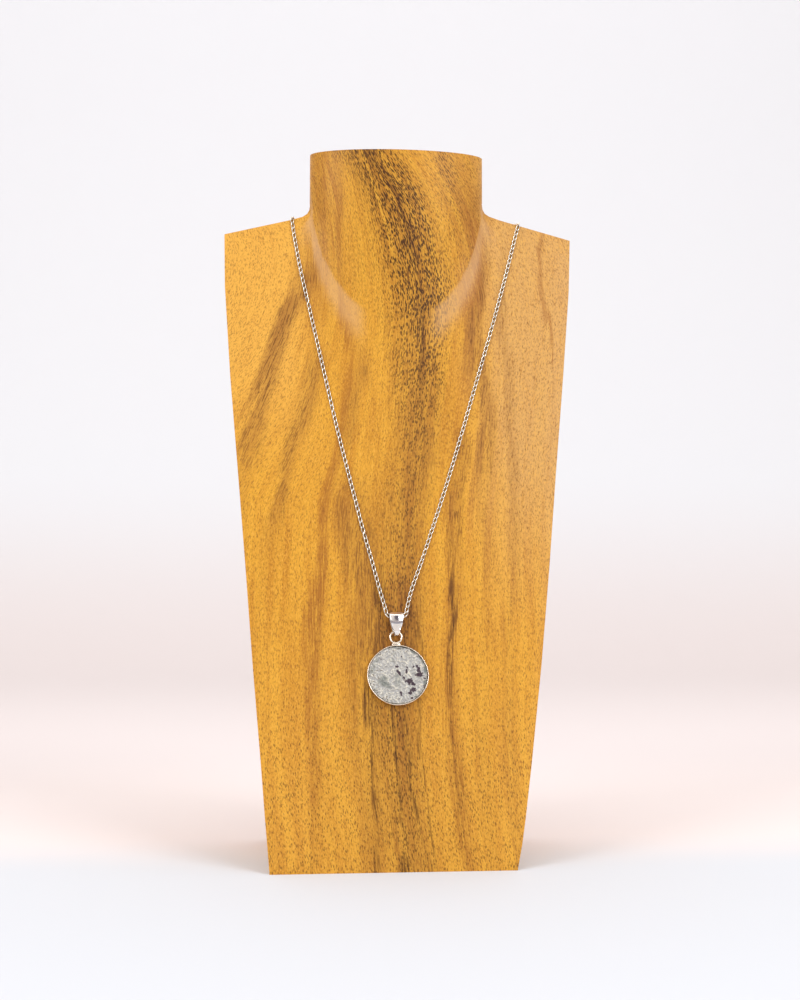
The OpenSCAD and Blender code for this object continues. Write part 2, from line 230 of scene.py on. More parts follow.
def startMaterial(name):
    material = bpy.data.materials.new(name)
    material.use_nodes = True
    tree = material.node_tree
    shader = tree.nodes["Principled BSDF"]
    coords = addNode(tree, "ShaderNodeTexCoord")
    # millimetres make every pattern's size readable
    place = addNode(tree, "ShaderNodeVectorMath", {"operation": "SCALE"},
                    {0: coords.outputs["Object"], "Scale": 1000.0})
    return material, tree, shader, place.outputs[0]


# Matt seamless paper, white in front and lavender higher up; the brighter pink tone just behind the stand is
# painted warm light in the bust's shadows, and the darker tone farther back is painted shade.
# Tones: the axis, between which places in mm it changes, and to what
paperShape = {
    "front": "DADCDF", "roughness": 0.8, "specular": 0.1,
    "tones": [("Y", -40.0, 60.0, "EDE2DE"), ("Y", 150.0, 420.0, "E6DCD9"), ("Z", 0.0, 260.0, "E9EAEC")],
}


def paper():
    material, tree, shader, place = startMaterial("seamlessPaper")
    split = addNode(tree, "ShaderNodeSeparateXYZ", None, {0: place})
    color = hexColor(paperShape["front"])
    for axis, start, end, tone in paperShape["tones"]:
        share = addNode(tree, "ShaderNodeMapRange", {"interpolation_type": "SMOOTHSTEP"},
                        {"Value": split.outputs[axis], "From Min": start, "From Max": end})
        color = addNode(tree, "ShaderNodeMix", {"data_type": "RGBA"},
                        {0: share.outputs[0], 6: color, 7: hexColor(tone)}).outputs[2]
    tree.links.new(color, shader.inputs["Base Color"])
    shader.inputs["Roughness"].default_value = paperShape["roughness"]
    shader.inputs["Specular IOR Level"].default_value = paperShape["specular"]
    return material


giveMaterial(backdrop, paper())

# Figured hardwood, such as acacia: straight grain up the bust, dark heartwood streaks, open pores, satin
# lacquer. Streaks: the line's places as (height, x) in mm, half its width, and its strength at each height
wood = {
    # tan, laid over the right of the chest, is a painted sheen
    # the colour laid in the hollows beside the neck is a painted sheen
    "light": "D79B2E", "dark": "AF6D19", "tan": "C99A5C", "pale": "DDA344", "hollowSheenPale": "CCA070", "pore": "3A1F0A",
    "shade": "8A5522", "heart": "845019", "red": "8A4C1B", "strand": "5E3212", "deep": "46220A",
    "poreSpacing": (0.62, 0.9, 2.0), "specular": 0.18, "coat": 0.05, "coatRoughness": 0.26,
    # each pattern's grain in mm across, in and up: fibres, strands and flecks are drawn coarser than they are
    "patterns": {
        "bands": ((4.6, 18.4, 150.0), {"Detail": 5.0, "Roughness": 0.6, "Distortion": 0.3}),
        "fibres": ((0.6, 3.0, 26.0), {"Detail": 3.0, "Roughness": 0.65}),
        "strands": ((0.5, 2.5, 7.0), {"Detail": 1.0}),
        "flecks": ((0.55, 0.8, 1.3), {"Detail": 2.0, "Roughness": 0.6}),
        "drift": ((26.0, 30.0, 110.0), {"Detail": 3.0}),
    },
    # the grain's sideways shift at each height in the middle, how far it leans out on the left of the chest,
    # and between which heights that lean grows
    "flow": [(0, 3), (60, -2), (133, -1), (183, 4), (208, 7), (234, 9), (255, 6), (280, -1), (305, -15)],
    "leftLean": 36.0, "leanFrom": 150.0, "leanTo": 262.0,
    "streaks": {
        "shade": [
            {"line": [(0, 2), (60, -3), (133, -1), (183, 7), (208, 7), (305, 7)], "half": 8.0,
             "strength": [(0, 0.3), (60, 0.75), (90, 0.95), (112, 0.8), (133, 0.55), (183, 0.7), (210, 0.5),
                          (225, 0), (305, 0)]},
            {"line": [(0, -14), (100, -15), (125, -17), (150, -19), (305, -20)], "half": 6.0,
             "strength": [(0, 0.2), (70, 0.4), (100, 0.75), (140, 0.7), (160, 0.2), (175, 0), (305, 0)]},
            {"line": [(0, -60), (156, -51), (171, -47), (188, -41), (204, -36), (250, -28)], "half": 3.2,
             "strength": [(0, 0), (120, 0.1), (156, 0.6), (204, 0.7), (222, 0), (305, 0)]},
            {"line": [(0, -70), (176, -66), (188, -63), (228, -51), (248, -42), (305, -38)], "half": 3.8,
             "strength": [(0, 0), (150, 0.15), (176, 0.65), (225, 0.9), (248, 0.8), (262, 0.2), (305, 0)]},
            {"line": [(0, -30), (183, -19.7), (207, -15.6), (305, -12)], "half": 2.4,
             "strength": [(0, 0), (160, 0), (183, 0.5), (207, 0.5), (222, 0), (305, 0)]},
            {"line": [(0, 36), (176, 34), (187, 36), (221, 32), (245, 36), (305, 42)], "half": 3.0,
             "strength": [(0, 0.1), (150, 0.2), (176, 0.7), (221, 0.75), (240, 0.8), (262, 0.3), (305, 0.2)]},
            {"line": [(0, 22), (145, 23.5), (166, 25), (200, 22), (305, 20)], "half": 2.2,
             "strength": [(0, 0), (120, 0.1), (145, 0.7), (166, 0.7), (190, 0), (305, 0)]},
            {"line": [(0, 46), (200, 47), (240, 48), (305, 48)], "half": 2.0,
             "strength": [(0, 0.2), (120, 0.2), (180, 0.4), (235, 0.3), (262, 0.1), (305, 0)]},
        ],
        "heart": [
            {"line": [(0, 0), (60, -4), (133, -2), (183, 6), (208, 7.4), (234, 9), (255, 6), (280, -1),
                      (305, -15)], "half": 12.0,
             "strength": [(0, 0.4), (60, 0.5), (110, 0.45), (165, 0.4), (190, 0.55), (215, 0.85), (235, 0.95),
                          (265, 1), (305, 1)]},
            {"line": [(0, 34), (240, 30), (262, 29), (285, 24), (305, 21)], "half": 4.0,
             "strength": [(0, 0), (250, 0), (270, 0.15), (290, 0.4), (305, 0.5)]},
        ],
        "red": [
            {"line": [(0, -33), (214, -33), (262, -34), (305, -34)], "half": 1.4,
             "strength": [(0, 0), (232, 0), (250, 0.8), (285, 0.9), (305, 0.8)]},
            {"line": [(0, -38), (67, -37), (104, -36), (125, -33), (150, -30), (200, -20),
                      (305, -18)], "half": 2.2,
             "strength": [(0, 0.3), (67, 0.7), (104, 0.9), (150, 0.8), (183, 0.45), (207, 0.4), (240, 0.1),
                          (305, 0.1)]},
            {"line": [(0, 25), (55, 22), (87, 20.5), (106, 22), (138, 21), (200, 30), (305, 30)], "half": 3.4,
             "strength": [(0, 0.6), (55, 0.7), (106, 0.6), (150, 0.3), (200, 0.1), (305, 0.2)]},
            {"line": [(0, 66), (214, 65.5), (262, 65.5), (305, 65)], "half": 0.8,
             "strength": [(0, 0.1), (200, 0.2), (214, 0.5), (262, 0.6), (305, 0.5)]},
            {"line": [(0, -36), (232, -36), (305, -36)], "half": 6.0,
             "strength": [(0, 0), (215, 0), (238, 0.5), (275, 0.6), (305, 0.5)]},
            {"line": [(0, 32), (240, 31), (265, 32), (305, 31)], "half": 4.5,
             "strength": [(0, 0), (225, 0), (242, 0.8), (275, 0.75), (295, 0.3), (305, 0.2)]},
            {"line": [(0, -22), (207, -21), (250, -26), (305, -28)], "half": 1.6,
             "strength": [(0, 0), (200, 0), (222, 0.6), (262, 0.7), (305, 0.4)]},
        ],
        "deep": [
            {"line": [(0, -15), (75, -12.5), (88, -11.5), (100, -11.2), (112, -12.5), (150, -16),
                      (305, -16)], "half": 2.3,
             "strength": [(0, 0), (55, 0.3), (72, 0.55), (88, 0.85), (104, 0.8), (115, 0.4), (132, 0),
                          (305, 0)]},
            {"line": [(0, 4), (85, 4.6), (105, 4.8), (305, 5)], "half": 1.7,
             "strength": [(0, 0), (70, 0.2), (88, 0.6), (102, 0.5), (116, 0), (305, 0)]},
            {"line": [(0, -13), (13, -13.5), (80, -15), (150, -14), (305, -14)], "half": 0.8,
             "strength": [(0, 0.7), (70, 0.9), (82, 0.4), (95, 0), (305, 0)]},
            {"line": [(0, -2), (4, -2), (60, -7), (92, -10), (150, -10.5), (305, -9)], "half": 1.2,
             "strength": [(0, 0.8), (40, 1), (60, 0.8), (78, 0.7), (100, 0.75), (118, 0.4), (135, 0),
                          (305, 0)]},
            {"line": [(0, 2), (90, 1.5), (105, 2), (150, 4), (305, 4)], "half": 0.9,
             "strength": [(0, 0), (78, 0.2), (92, 0.7), (108, 0.65), (125, 0.3), (145, 0), (305, 0)]},
            {"line": [(0, 9), (60, 0), (150, -2), (305, -2)], "half": 0.9,
             "strength": [(0, 0.9), (40, 0.8), (62, 0.5), (72, 0), (305, 0)]},
            {"line": [(0, 12), (60, 8), (150, 6), (305, 6)], "half": 0.7,
             "strength": [(0, 0.6), (45, 0.8), (90, 0.5), (120, 0.3), (140, 0), (305, 0)]},
            {"line": [(0, 24), (55, 21.9), (87, 20.5), (106, 22.2), (138, 20.8), (305, 20)], "half": 1.4,
             "strength": [(0, 0.15), (50, 0.4), (75, 0.6), (88, 1), (104, 1), (120, 0.6), (138, 0.2), (150, 0),
                          (305, 0)]},
            {"line": [(0, 8), (183, 8), (208, 8.4), (234, 10), (255, 6.5), (280, 0), (305, -14)], "half": 1.8,
             "strength": [(0, 0), (180, 0.1), (205, 0.55), (222, 0.9), (240, 0.75), (262, 0.9), (285, 0.6),
                          (305, 0.5)]},
        ],
    },
}


def valueCurve(tree, source, points, span, low, high):
    # a drawn curve over the height, its values mapped from low..high
    curve = addNode(tree, "ShaderNodeFloatCurve", None, {"Value": source})
    line = curve.mapping.curves[0]
    spots = [(at / span, (value - low) / (high - low)) for at, value in points]
    for i, (at, value) in enumerate(spots):
        if i < 2:
            line.points[i].location = (at, value)
        else:
            line.points.new(at, value)
    for point in line.points:
        point.handle_type = "AUTO_CLAMPED"
    curve.mapping.update()
    return addNode(tree, "ShaderNodeMapRange", {"clamp": False},
                   {"Value": curve.outputs[0], "To Min": low, "To Max": high}).outputs[0]


def streakMask(tree, x, height, streak):
    line = valueCurve(tree, height, streak["line"], bustHeight, -90, 90)
    strength = valueCurve(tree, height, streak["strength"], bustHeight, 0, 1)
    aside = addNode(tree, "ShaderNodeMath", {"operation": "SUBTRACT"}, {0: x, 1: line})
    distance = addNode(tree, "ShaderNodeMath", {"operation": "ABSOLUTE"}, {0: aside.outputs[0]})
    half = streak["half"]
    core = addNode(tree, "ShaderNodeMapRange", {"interpolation_type": "SMOOTHSTEP"},
                   {"Value": distance.outputs[0], "From Min": half * 1.8, "From Max": half * 0.1})
    mask = addNode(tree, "ShaderNodeMath", {"operation": "MULTIPLY"}, {0: core.outputs[0], 1: strength})
    return mask.outputs[0]


# How the wood's colour and pores come about, one step after the other. A step that names an operation works on
# two values. The others go softly from one value to another between two limits of what they read
woodSteps = [
    ("darkBands", "bands", 0.36, 0.72, 0, 0.62),
    ("darkFibres", "fibres", 0.48, 0.75, 0, 0.4),
    ("darkFlecks", "flecks", 0.48, 0.7, 0, 0.62),
    ("paleFlecks", "flecks", 0.48, 0.3, 0, 0.55),
    # paler at the right of the chest, which is a painted sheen, paler wood at the left of its top, and a little
    # at the foot
    ("right", "x", 22, 50, 0, 1),
    ("rightUp", "up", 80, 180, 0, 0.75),
    ("rightSide", "MULTIPLY", "right", "rightUp"),
    ("left", "x", -28, -52, 0, 1),
    ("leftUp", "up", 150, 215, 0, 0.8),
    ("leftTop", "MULTIPLY", "left", "leftUp"),
    ("lowDown", "up", 120, 20, 0, 0.22),
    # each group of streaks is broken up by the bands, the fibres or the strands that it runs through
    ("shadeBroken", "bands", 0.25, 0.6, 0.36, 0.74),
    ("shadeStreaks", "MULTIPLY", "shade", "shadeBroken"),
    ("redBroken", "fibres", 0.2, 0.6, 0, 0.8),
    ("redStreaks", "MULTIPLY", "red", "redBroken"),
    ("heartBroken", "bands", 0.3, 0.6, 0.14, 0.4),
    ("heartStreaks", "MULTIPLY", "heart", "heartBroken"),
    ("figured", "MAXIMUM", "heart", "shade"),
    ("strandBroken", "strands", 0.53, 0.62, 0, 0.8),
    ("figuredStrands", "MULTIPLY", "figured", "strandBroken"),
    ("deepBroken", "fibres", 0.36, 0.62, 0, 0.92),
    ("deepStreaks", "MULTIPLY", "deep", "deepBroken"),
    # the neck is what stands out of the leaning plane of the chest
    ("upward", "MULTIPLY", "up", lean),
    ("sideways", "MULTIPLY", "across", sideTurn),
    ("plane", "ADD", "upward", "sideways"),
    ("chest", "SUBTRACT", "plane", backFace),
    ("front", "SUBTRACT", "chest", "depth"),
    ("neck", "front", 0.3, 2.4, 0, 1),
    ("foot", "up", 95, 25, 0, 1),
    # pores crowd in the dark heartwood of the neck and stay faint on the chest: which cells hold one
    ("heartNear", "heart", 0.05, 0.4, 0, 0.85),
    ("porous", "MAXIMUM", "neck", "heartNear"),
    ("heartShare", "heart", 0, 0.6, 0.75, 0.98),
    ("crowded", "MULTIPLY", "porous", "heartShare"),
    ("footShare", "foot", 0, 1, 0.24, 0.65),
    ("share", "MAXIMUM", "crowded", "footShare"),
    ("chosen", "SUBTRACT", "share", "lot"),
    ("present", "chosen", 0, 0.1, 0, 1),
    # how wide a pore is
    ("poreRadius", "heart", 0.1, 0.8, 0.34, 0.47),
    ("within", "SUBTRACT", "poreRadius", "fromMiddle"),
    ("inPore", "within", -0.08, 0.1, 0, 1),
    # and how dark
    ("heartDark", "heart", 0, 0.7, 0.5, 0.92),
    ("darkened", "MULTIPLY", "porous", "heartDark"),
    ("footDark", "foot", 0, 1, 0.38, 0.6),
    ("showing", "MAXIMUM", "darkened", "footDark"),
    ("poreHere", "MULTIPLY", "inPore", "present"),
    ("pores", "MULTIPLY", "poreHere", "showing"),
    # a painted pale sheen in the hollow on both sides of the neck
    ("hollowStarts", "front", 0.02, 0.9, 0, 1),
    ("hollowEnds", "front", 2.1, 1.6, 0, 1),
    ("hollow", "MULTIPLY", "hollowStarts", "hollowEnds"),
    ("bothSides", "ABSOLUTE", "across", 0.0),
    ("aside", "bothSides", 12, 20, 0, 0.45),
    ("milkySides", "MULTIPLY", "hollow", "aside"),
    # the lacquer's sheen and the relief under it
    ("sheen", "fibres", 0.2, 0.8, 0.4, 0.54),
    ("relief", "SUBTRACT", "fibres", "pores"),
]
# colours of the dictionary above, laid over each other as far as these steps say
woodLayers = [
    ("dark", "darkBands"), ("tan", "rightSide"), ("pale", "leftTop"), ("pale", "lowDown"),
    ("dark", "darkFibres"), ("shade", "darkFlecks"), ("pale", "paleFlecks"), ("shade", "shadeStreaks"),
    ("red", "redStreaks"), ("heart", "heartStreaks"), ("strand", "figuredStrands"), ("deep", "deepStreaks"),
    ("pore", "pores"), ("hollowSheenPale", "milkySides"),
]


def takeSteps(tree, steps, values):
    for name, kind, *given in steps:
        given = [values.get(v, v) for v in given]
        if kind.isupper():
            made = addNode(tree, "ShaderNodeMath", {"operation": kind}, {0: given[0], 1: given[1]})
        else:
            start, end, before, after = given
            made = addNode(tree, "ShaderNodeMapRange", {"interpolation_type": "SMOOTHSTEP"},
                           {"Value": values[kind], "From Min": start, "From Max": end,
                            "To Min": before, "To Max": after})
        values[name] = made.outputs[0]


def lacqueredWood():
    material, tree, shader, place = startMaterial("lacqueredHardwood")
    split = addNode(tree, "ShaderNodeSeparateXYZ", None, {0: place})
    values = {"across": split.outputs["X"], "depth": split.outputs["Y"], "up": split.outputs["Z"]}
    height = addNode(tree, "ShaderNodeMath", {"operation": "DIVIDE"},
                     {0: values["up"], 1: bustHeight}).outputs[0]

    # the grain follows a curve up the middle and leans out on the left of the chest
    values["flow"] = valueCurve(tree, height, wood["flow"], bustHeight, -90, 90)
    rise = addNode(tree, "ShaderNodeMapRange", None,
                   {"Value": values["up"], "From Min": wood["leanFrom"], "From Max": wood["leanTo"]})
    values["rise"] = rise.outputs[0]
    takeSteps(tree, [
        ("leaning", "across", -6, -46, 0, wood["leftLean"]),
        ("leanHere", "MULTIPLY", "leaning", "rise"),
        ("offFlow", "SUBTRACT", "across", "flow"),
        ("straight", "SUBTRACT", "offFlow", "leanHere"),
    ], values)
    grain = addNode(tree, "ShaderNodeCombineXYZ", None,
                    {0: values["straight"], 1: values["depth"], 2: values["up"]}).outputs[0]
    for name, (size, settings) in wood["patterns"].items():
        source = place if name == "drift" else grain
        scaled = addNode(tree, "ShaderNodeVectorMath", {"operation": "DIVIDE"}, {0: source, 1: size})
        texture = addNode(tree, "ShaderNodeTexNoise", None,
                          {"Vector": scaled.outputs[0], "Scale": 1.0, **settings})
        values[name] = texture.outputs[0]
    # open pores are short dark dashes along the grain, each in a cell of its own
    cells = addNode(tree, "ShaderNodeVectorMath", {"operation": "DIVIDE"}, {0: grain, 1: wood["poreSpacing"]})
    dashes = addNode(tree, "ShaderNodeTexVoronoi", None,
                     {"Vector": cells.outputs[0], "Scale": 1.0, "Randomness": 0.95})
    lots = addNode(tree, "ShaderNodeSeparateColor", None, {0: dashes.outputs["Color"]})
    values["lot"], values["fromMiddle"] = lots.outputs[0], dashes.outputs["Distance"]

    # the streaks sway and their edges are ragged
    takeSteps(tree, [
        ("sway", "drift", 0.2, 0.8, -4, 4),
        ("ragged", "bands", 0.2, 0.8, -2, 2),
        ("shift", "ADD", "sway", "ragged"),
        ("x", "ADD", "across", "shift"),
    ], values)
    for group, streaks in wood["streaks"].items():
        mask = streakMask(tree, values["x"], height, streaks[0])
        for streak in streaks[1:]:
            other = streakMask(tree, values["x"], height, streak)
            mask = addNode(tree, "ShaderNodeMath", {"operation": "MAXIMUM"}, {0: mask, 1: other}).outputs[0]
        values[group] = mask
    takeSteps(tree, woodSteps, values)

    color = hexColor(wood["light"])
    for name, step in woodLayers:
        color = addNode(tree, "ShaderNodeMix", {"data_type": "RGBA"},
                        {0: values[step], 6: color, 7: hexColor(wood[name])}).outputs[2]
    tree.links.new(color, shader.inputs["Base Color"])
    tree.links.new(values["sheen"], shader.inputs["Roughness"])
    bump = addNode(tree, "ShaderNodeBump", None,
                   {"Height": values["relief"], "Strength": 0.25, "Distance": 0.00004})
    tree.links.new(bump.outputs[0], shader.inputs["Normal"])
    shader.inputs["Specular IOR Level"].default_value = wood["specular"]
    shader.inputs["Coat Weight"].default_value = wood["coat"]
    shader.inputs["Coat Roughness"].default_value = wood["coatRoughness"]
    return material


def polishedSilver(name, tint, roughness, tarnish):
    # Sterling silver, drawn or rolled and then tumbled bright: fine scratches, faint warm tarnish in patches
    material, tree, shader, place = startMaterial(name)
    patches = addNode(tree, "ShaderNodeTexNoise", None,
                      {"Vector": place, "Scale": 0.9, "Detail": 4.0, "Roughness": 0.6})
    veil = addNode(tree, "ShaderNodeMapRange", {"interpolation_type": "SMOOTHSTEP"},
                   {"Value": patches.outputs[0], "From Min": 0.48, "From Max": 0.72, "To Max": tarnish})
    color = addNode(tree, "ShaderNodeMix", {"data_type": "RGBA"},
                    {0: veil.outputs[0], 6: hexColor(tint), 7: hexColor("8F8378")})
    tree.links.new(color.outputs[2], shader.inputs["Base Color"])
    # tumbling marks, 0.15 mm
    marks = addNode(tree, "ShaderNodeTexNoise", None, {"Vector": place, "Scale": 6.5, "Detail": 2.0})
    gloss = addNode(tree, "ShaderNodeMapRange", None,
                    {"Value": marks.outputs[0], "To Min": roughness * 0.7, "To Max": roughness * 1.35})
    tree.links.new(gloss.outputs[0], shader.inputs["Roughness"])
    bump = addNode(tree, "ShaderNodeBump", None,
                   {"Height": marks.outputs[0], "Strength": 0.12, "Distance": 0.00005})
    tree.links.new(bump.outputs[0], shader.inputs["Normal"])
    shader.inputs["Metallic"].default_value = 1.0
    return material


def darkenedWhereMarked(material, name, attribute, color):
    # the same silver darkened where the attribute says, by tarnish with painted shade and painted reflection
    # mixed in
    made = material.copy()
    made.name = name
    tree = made.node_tree
    shader = tree.nodes["Principled BSDF"]
    before = shader.inputs["Base Color"].links[0].from_socket
    deep = addNode(tree, "ShaderNodeAttribute", {"attribute_name": attribute})
    mixed = addNode(tree, "ShaderNodeMix", {"data_type": "RGBA"},
                    {0: deep.outputs["Fac"], 6: before, 7: hexColor(color)})
    tree.links.new(mixed.outputs[2], shader.inputs["Base Color"])
    return made


# Old struck silver from the ground: matt warm grey, cream where rubbed, with plum and green-grey crust and dirt
coinFinish = {"pale": "BDB8B0", "dull": "8B8883", "rubbed": "D3CBB9", "greenCrust": "75776F",
              "plumCrust": "3A2730", "dirt": "5C4F42"}


def corrodedSilver():
    material, tree, shader, place = startMaterial("corrodedCoinSilver")
    cloud = addNode(tree, "ShaderNodeTexNoise", None,
                    {"Vector": place, "Scale": 0.75, "Detail": 6.0, "Roughness": 0.7})
    grain = addNode(tree, "ShaderNodeTexNoise", None,
                    {"Vector": place, "Scale": 3.2, "Detail": 4.0, "Roughness": 0.7})
    color = addNode(tree, "ShaderNodeMix", {"data_type": "RGBA"},
                    {0: cloud.outputs[0], 6: hexColor(coinFinish["pale"]), 7: hexColor(coinFinish["dull"])})
    for name in ("rubbed", "greenCrust"):
        layer = addNode(tree, "ShaderNodeAttribute", {"attribute_name": name})
        color = addNode(tree, "ShaderNodeMix", {"data_type": "RGBA"},
                        {0: layer.outputs["Fac"], 6: color.outputs[2], 7: hexColor(coinFinish[name])})
    # the plum crust has ragged edges
    plum = addNode(tree, "ShaderNodeAttribute", {"attribute_name": "plumCrust"})
    coarse = addNode(tree, "ShaderNodeTexNoise", None,
                     {"Vector": place, "Scale": 1.5, "Detail": 3.0, "Roughness": 0.6})
    ragged = addNode(tree, "ShaderNodeMath", {"operation": "MULTIPLY_ADD"},
                     {0: coarse.outputs[0], 1: 1.8, 2: -0.95})
    push = addNode(tree, "ShaderNodeMath", None, {0: plum.outputs["Fac"], 1: ragged.outputs[0]})
    mask = addNode(tree, "ShaderNodeMapRange", {"interpolation_type": "SMOOTHSTEP"},
                   {"Value": push.outputs[0], "From Min": 0.45, "From Max": 0.7})
    color = addNode(tree, "ShaderNodeMix", {"data_type": "RGBA"},
                    {0: mask.outputs[0], 6: color.outputs[2], 7: hexColor(coinFinish["plumCrust"])})
    # specks of dirt, close together along the border
    border = addNode(tree, "ShaderNodeAttribute", {"attribute_name": "nearBorder"})
    dirt = addNode(tree, "ShaderNodeTexNoise", None,
                   {"Vector": place, "Scale": 1.1, "Detail": 2.0, "Roughness": 0.7})
    edge = addNode(tree, "ShaderNodeMath", {"operation": "MULTIPLY_ADD"},
                   {0: border.outputs["Fac"], 1: 0.1, 2: dirt.outputs[0]})
    specks = addNode(tree, "ShaderNodeMapRange", {"interpolation_type": "SMOOTHSTEP"},
                     {"Value": edge.outputs[0], "From Min": 0.66, "From Max": 0.74, "To Max": 0.75})
    color = addNode(tree, "ShaderNodeMix", {"data_type": "RGBA"},
                    {0: specks.outputs[0], 6: color.outputs[2], 7: hexColor(coinFinish["dirt"])})
    tree.links.new(color.outputs[2], shader.inputs["Base Color"])
    metal = addNode(tree, "ShaderNodeMapRange", None,
                    {"Value": mask.outputs[0], "To Min": 0.75, "To Max": 0.15})
    tree.links.new(metal.outputs[0], shader.inputs["Metallic"])
    gloss = addNode(tree, "ShaderNodeMapRange", None,
                    {"Value": grain.outputs[0], "To Min": 0.38, "To Max": 0.62})
    tree.links.new(gloss.outputs[0], shader.inputs["Roughness"])
    bump = addNode(tree, "ShaderNodeBump", None,
                   {"Height": grain.outputs[0], "Strength": 0.5, "Distance": 0.0001})
    tree.links.new(bump.outputs[0], shader.inputs["Normal"])
    return material


woodMaterial = lacqueredWood()
# the cream tints of the chain's and the bezel's silver are partly a painted reflection of the golden wood
chainSilver = darkenedWhereMarked(polishedSilver("wireSilver", "FFF9EA", 0.27, 0.05), "tumbledChainSilver",
                          "insideTarnishAndShade", "3A2412")
sheetSilver = polishedSilver("polishedSheetSilver", "F3EEE8", 0.15, 0.2)
bezelSilver = polishedSilver("burnishedBezelSilver", "F1E4D0", 0.2, 0.3)
print("materials made")


# One block of hardwood, its edges rounded by sanding
bustShape = {"edgeRadius": 1.1, "sharpAngle": 38}

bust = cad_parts["bust"].copy()
bust.data = bust.data.copy()
bust.parent = None
bust.name = bust.data.name = "neckBust"
for key in list(bust.keys()):
    del bust[key]
scene.collection.objects.link(bust)
makeActive(bust)
bpy.ops.object.mode_set(mode="EDIT")
bpy.ops.mesh.select_all(action="SELECT")
bpy.ops.mesh.remove_doubles(threshold=0.000001)
bpy.ops.mesh.tris_convert_to_quads(face_threshold=math.radians(6), shape_threshold=math.radians(180))
bpy.ops.object.mode_set(mode="OBJECT")
addModifier(bust, "BEVEL", width=bustShape["edgeRadius"] * mm, segments=3, limit_method="ANGLE",
            angle_limit=math.radians(bustShape["sharpAngle"]), use_clamp_overlap=True)
smoothPiece(bust, 40)
giveMaterial(bust, woodMaterial)
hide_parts("bust")
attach(bust, "stand")
print("bust finished", len(bust.data.polygons))


# The chest's own directions, and where the chain hangs in the bail
offChest = Vector((0.04895, -0.96621, 0.25309))
upChest = Vector((-0.0128, 0.25277, 0.96745))
acrossChest = Vector((0.99872, 0.05059, 0))
pendantPlace = Vector((-2.7, -17.6808, 101.0))

# Curb chain of drawn wire, its oval links twisted so that they lie flat
chainShape = {
    "pitch": 2.415, "wire": 0.5, "innerWidth": 0.72, "twist": 104, "faces": (12, 6),
    # how far the chain's middle is off the wood, how far inside the bail, and half the bail's width
    "out": 0.62, "outInBail": 2.1, "mouth": 2.8,
    # a few links lie turned and flash: link number and its turn in degrees
    "turnedLinks": {42: 30, 43: 46, 64: 38, 88: -30, 117: 34, 118: 22, 141: -26, 156: 28},
    # the route in part.scad: zone, x, and two lengths
    "route": [
        ("behind", -0.5, -3.6, 1), ("behind", -9, -3.7, 1), ("behind", -18, -4.1, 1), ("behind", -27, -5, 1),
        ("behind", -37, -6.5, 1), ("behind", -42, -7.6, 1), ("rearEdge", -44, 1, 0.6),
        ("rearEdge", -45, 0, 1.2), ("rearEdge", -45.8, -9, 1.2), ("frontEdge", -46.4, 0.3, 1.1),
        ("frontEdge", -46.6, -0.85, 0.85), ("chest", -46.6, -6.8, 1), ("chest", -45.2, 2.8, 1),
        ("chest", -42.5, 17.5, 1), ("chest", -39.2, 32.1, 1), ("chest", -36, 46.6, 1), ("chest", -32.8, 61, 1),
        ("chest", -29.7, 75, 1), ("chest", -26.5, 89, 1), ("chest", -23.1, 103, 1), ("chest", -19.7, 116.6, 1),
        ("chest", -16.3, 130.2, 1), ("chest", -12.6, 143.7, 1.05), ("leftMouth", 3.7, 11.1, 0.3),
        ("leftMouth", 2.2, 5.2, 0.6), ("leftMouth", 1.6, 2.4, 0.9), ("leftMouth", 1.2, 0.9, 1),
        ("leftMouth", 0.4, 0.15, 1), ("leftMouth", -0.7, 0, 1), ("rightMouth", -0.7, 0, 1),
        ("rightMouth", 0.4, 0.15, 1), ("rightMouth", 1.2, 0.9, 1), ("rightMouth", 1.6, 2.4, 0.9),
        ("rightMouth", 2.3, 5.4, 0.6), ("rightMouth", 4.2, 12, 0.3), ("chest", 9.1, 142, 1.05),
        ("chest", 13.8, 128.5, 1), ("chest", 18.5, 114.8, 1), ("chest", 23, 100.9, 1), ("chest", 27.4, 86.8, 1),
        ("chest", 31.7, 72.6, 1), ("chest", 36.1, 58.3, 1), ("chest", 40.5, 43.7, 1), ("chest", 44.8, 29, 1),
        ("chest", 49, 14, 1), ("chest", 53, -1, 1), ("chest", 54.5, -6.2, 1), ("frontEdge", 54.4, -0.85, 0.85),
        ("frontEdge", 54.2, 0.3, 1.1), ("rearEdge", 52.6, -7, 1), ("rearEdge", 51, 0, 1.2),
        ("rearEdge", 50, 1, 0.6), ("behind", 48, -7.2, 1), ("behind", 43, -6.4, 1), ("behind", 33, -5.2, 1),
        ("behind", 22, -4.2, 1), ("behind", 13, -3.7, 1), ("behind", 7.2, -3.6, 1),
    ],
}


def chestPoint(x, z):
    return Vector((x, -backFace + lean * z + sideTurn * x, z))


def routePoint(row):
    # a place on the route, and which way is off the wood there
    zone, x, a, b = row
    out = chainShape["out"]
    if zone == "chest":
        return chestPoint(x, tipHeight - a) + offChest * b * out, offChest
    if zone == "behind":
        return Vector((x, backFace + b * out, tipHeight - a)), Vector((0, 1, 0))
    if zone in ("leftMouth", "rightMouth"):
        side = -1 if zone == "leftMouth" else 1
        aside = side * (chainShape["mouth"] + x)
        lifted = out + (chainShape["outInBail"] - out) * b
        return pendantPlace + acrossChest * aside + upChest * a + offChest * lifted, offChest
    if x < 0:
        shoulder = tipHeight + shoulders["leftSlope"] * (x - shoulders["leftTip"])
    else:
        shoulder = tipHeight + shoulders["rightSlope"] * (shoulders["rightTip"] - x)
    edge = backFace if zone == "rearEdge" else chestPoint(x, shoulder).y
    tilt = Vector((0, 0.5 if zone == "rearEdge" else -0.5, 1)).normalized()
    return Vector((x, edge + a, shoulder + b * out)), tilt


